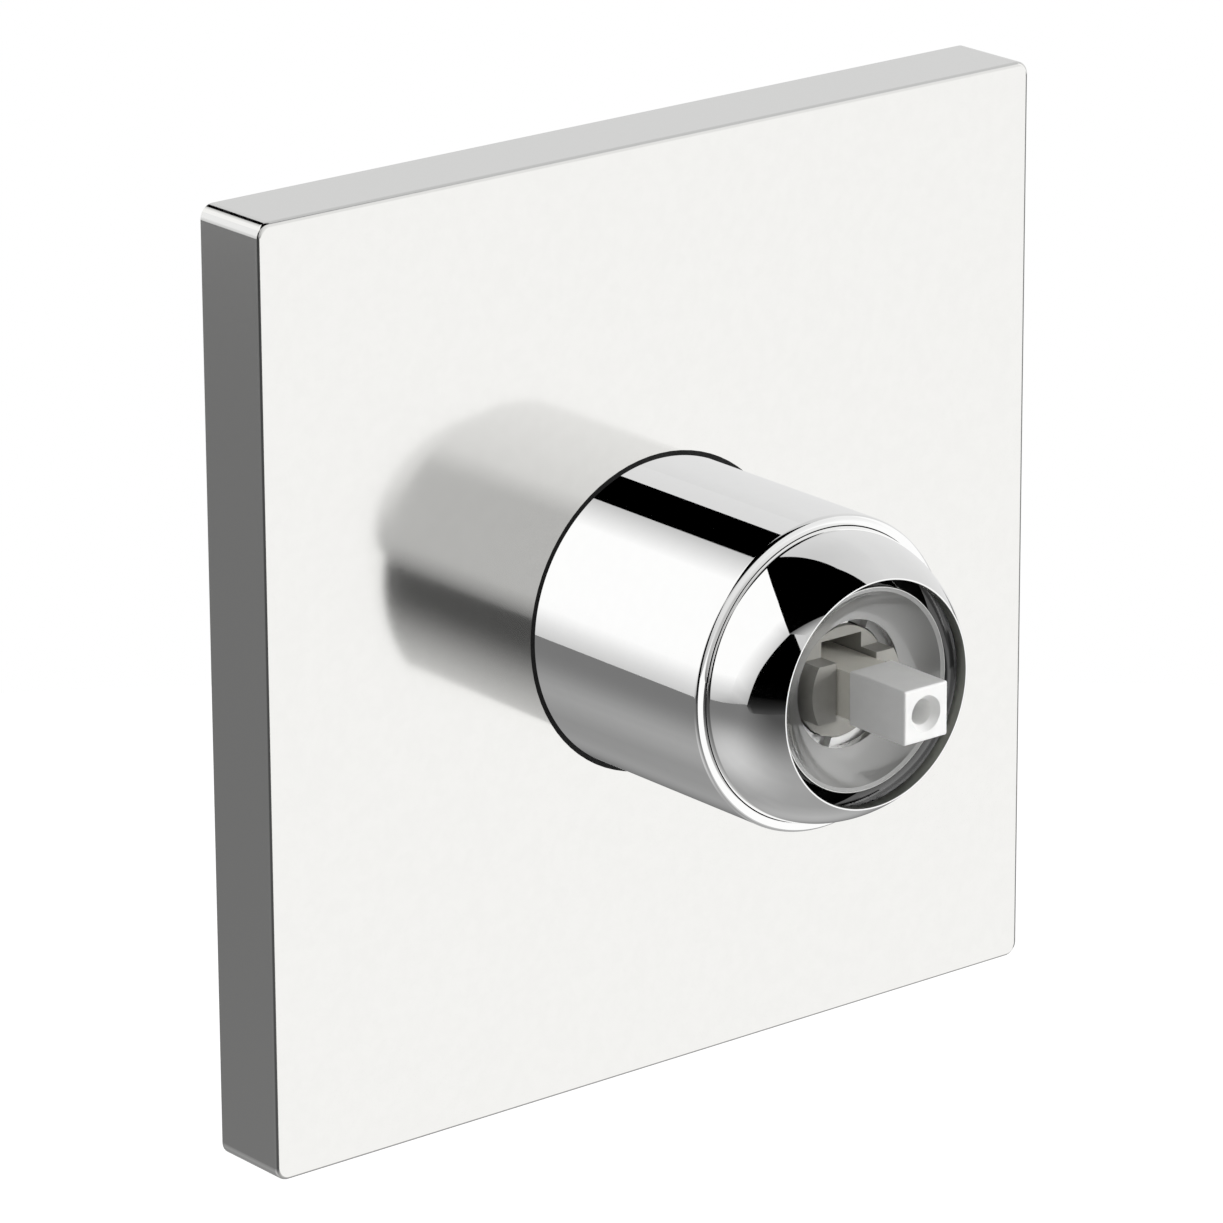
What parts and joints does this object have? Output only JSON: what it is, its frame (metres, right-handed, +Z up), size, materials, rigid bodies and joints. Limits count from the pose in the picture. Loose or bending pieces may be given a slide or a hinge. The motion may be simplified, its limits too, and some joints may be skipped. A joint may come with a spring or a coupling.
{
  "type": "concealed bath mixer",
  "caption": "Wall-set single-lever mixer: square chrome cover plate, round sleeve, domed cap with a square lever stem, ceramic cartridge and brass valve with threaded ports.",
  "frame": {"origin": "centre of the cover plate on the finished wall", "axes": "+Z up, +Y into the wall, -Y out into the room along the lever stem, +X to the right of a person facing it"},
  "size_m": [0.17, 0.1262, 0.17],
  "materials": {
    "chrome": "polished chrome plate",
    "nut_chrome": "polished, darker chrome",
    "brass": "cast and machined brass",
    "white_plastic": "white acetal, semi-gloss",
    "guide_plastic": "moulded beige-grey plastic",
    "grey_plastic": "moulded grey plastic",
    "check_plastic": "moulded pale plastic",
    "black_rubber": "black rubber",
    "seal_foam": "closed-cell foam rubber",
    "ceramic": "lapped alumina",
    "steel": "stainless steel"
  },
  "bodies": {
    "valve": {"cover_plate": "chrome", "sleeve": "chrome", "dome_cap": "chrome", "cartridge_nut": "nut_chrome", "valve_body": "brass", "outlet_plug": "brass", "limit_ring": "white_plastic", "plate_carrier": "grey_plastic", "cartridge_housing": "grey_plastic", "cartridge_base": "grey_plastic", "hot_check_housing": "check_plastic", "cold_check_housing": "check_plastic", "sleeve_seal": "black_rubber", "neck_o_rings": "black_rubber", "carrier_grommets": "black_rubber", "base_seals": "black_rubber", "plug_seal": "black_rubber", "hot_check_seal": "black_rubber", "cold_check_seal": "black_rubber", "wall_seal": "seal_foam", "fixed_disc": "ceramic", "carrier_screws": "steel", "fixing_screws": "steel", "hot_check_spring": "steel", "cold_check_spring": "steel", "hot_strainer": "steel", "cold_strainer": "steel"},
    "guide": {"lever_guide": "guide_plastic", "pivot_pin": "steel"},
    "lever": {"stem": "white_plastic"},
    "disc": {"disc_slider": "grey_plastic", "moving_disc": "ceramic"},
    "hot_poppet": {"hot_check_poppet": "check_plastic"},
    "cold_poppet": {"cold_check_poppet": "check_plastic"}
  },
  "joints": [
    {"name": "temperature_turn", "type": "hinge", "parent": "valve", "child": "guide", "pos_m": [0, -0.0566, 0], "axis": [0, -1, 0], "range_deg": [-45, 45]},
    {"name": "flow_tilt", "type": "hinge", "parent": "guide", "child": "lever", "pos_m": [0, -0.0566, 0], "axis": [-1, 0, 0], "range_deg": [0, 22]},
    {"name": "disc_slide", "type": "slide", "parent": "guide", "child": "disc", "axis": [0, 0, -1], "range_m": [0, 0.0034]},
    {"name": "hot_check_lift", "type": "slide", "parent": "valve", "child": "hot_poppet", "axis": [1, 0, 0], "range_m": [0, 0.003], "stiffness_N_per_m": 60, "springref_m": -0.004, "deforming": ["hot_check_spring"]},
    {"name": "cold_check_lift", "type": "slide", "parent": "valve", "child": "cold_poppet", "axis": [-1, 0, 0], "range_m": [0, 0.003], "stiffness_N_per_m": 60, "springref_m": -0.004, "deforming": ["cold_check_spring"]}
  ],
  "couplings": [
    {"joint": "disc_slide", "follows": "flow_tilt", "m_per_rad": 0.00865}
  ]
}
